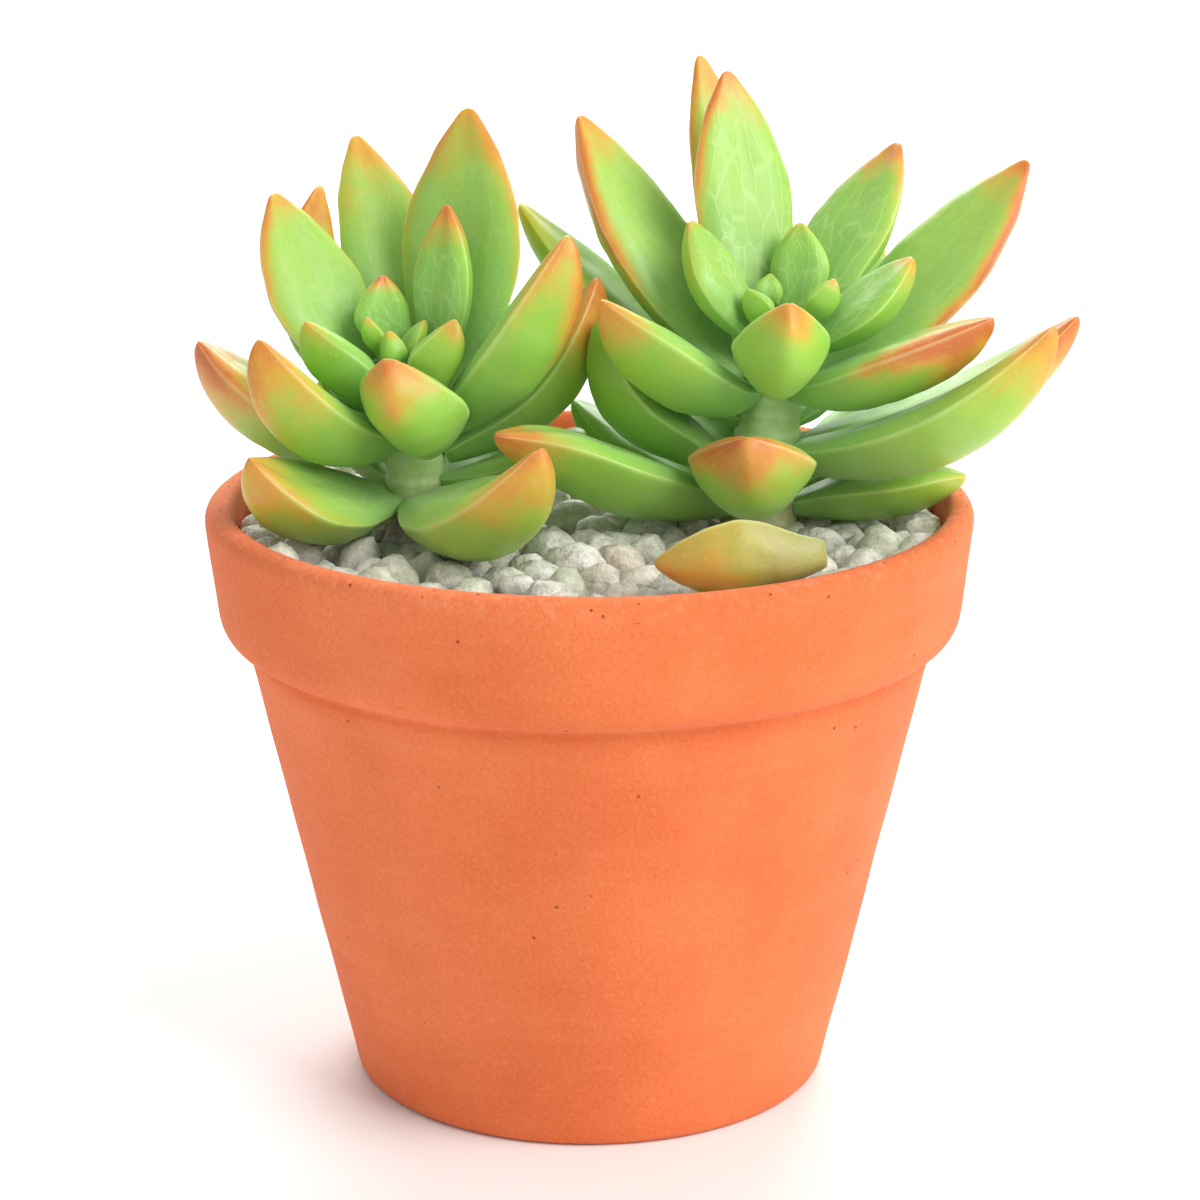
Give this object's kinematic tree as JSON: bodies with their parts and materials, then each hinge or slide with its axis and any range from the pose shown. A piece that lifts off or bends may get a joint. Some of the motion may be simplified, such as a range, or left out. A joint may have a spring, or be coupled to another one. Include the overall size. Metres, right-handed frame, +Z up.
{
  "type": "potted succulent",
  "caption": "Succulent with upright rosettes of thick boat-shaped leaves, orange at the tips, in a round clay pot topped with pale gravel",
  "frame": {"origin": "On the ground, under the middle of the box round the whole plant and pot. The pot's own axis stands 6.3 mm towards -X from it, because the plant overhangs further on the +X side.", "axes": "+Z is up. +X runs from the left rosette to the right one, seen from the side that the picture shows, and +Y points away from that side."},
  "size_m": [0.12, 0.105, 0.1386],
  "materials": {
    "terracotta": "matte",
    "potting_mix": "matte",
    "gravel": "matte",
    "stem_skin": "satin",
    "leaf_skin": "satin",
    "shed_leaf_skin": "satin"
  },
  "bodies": {
    "root": {"pot": "terracotta", "potting_mix": "potting_mix", "gravel": "gravel", "left_stem": "stem_skin", "right_stem": "stem_skin", "left_leaf_01": "leaf_skin", "left_leaf_02": "leaf_skin", "left_leaf_03": "leaf_skin", "left_leaf_04": "leaf_skin", "left_leaf_05": "leaf_skin", "left_leaf_06": "leaf_skin", "left_leaf_07": "leaf_skin", "left_leaf_08": "leaf_skin", "left_leaf_09": "leaf_skin", "left_leaf_10": "leaf_skin", "left_leaf_11": "leaf_skin", "left_leaf_12": "leaf_skin", "left_leaf_13": "leaf_skin", "left_leaf_14": "leaf_skin", "left_leaf_15": "leaf_skin", "left_leaf_16": "leaf_skin", "left_leaf_17": "leaf_skin", "left_leaf_18": "leaf_skin", "left_leaf_19": "leaf_skin", "left_leaf_20": "leaf_skin", "left_leaf_21": "leaf_skin", "left_leaf_22": "leaf_skin", "left_leaf_23": "leaf_skin", "left_leaf_24": "leaf_skin", "right_leaf_01": "leaf_skin", "right_leaf_02": "leaf_skin", "right_leaf_03": "leaf_skin", "right_leaf_04": "leaf_skin", "right_leaf_05": "leaf_skin", "right_leaf_06": "leaf_skin", "right_leaf_07": "leaf_skin", "right_leaf_08": "leaf_skin", "right_leaf_09": "leaf_skin", "right_leaf_10": "leaf_skin", "right_leaf_11": "leaf_skin", "right_leaf_12": "leaf_skin", "right_leaf_13": "leaf_skin", "right_leaf_14": "leaf_skin", "right_leaf_15": "leaf_skin", "right_leaf_16": "leaf_skin", "right_leaf_17": "leaf_skin", "right_leaf_18": "leaf_skin", "right_leaf_19": "leaf_skin", "right_leaf_20": "leaf_skin", "right_leaf_21": "leaf_skin", "right_leaf_22": "leaf_skin", "right_leaf_23": "leaf_skin", "right_leaf_24": "leaf_skin", "right_leaf_25": "leaf_skin", "right_leaf_26": "leaf_skin", "right_leaf_27": "leaf_skin", "loose_leaf": "shed_leaf_skin"}
  },
  "joints": []
}
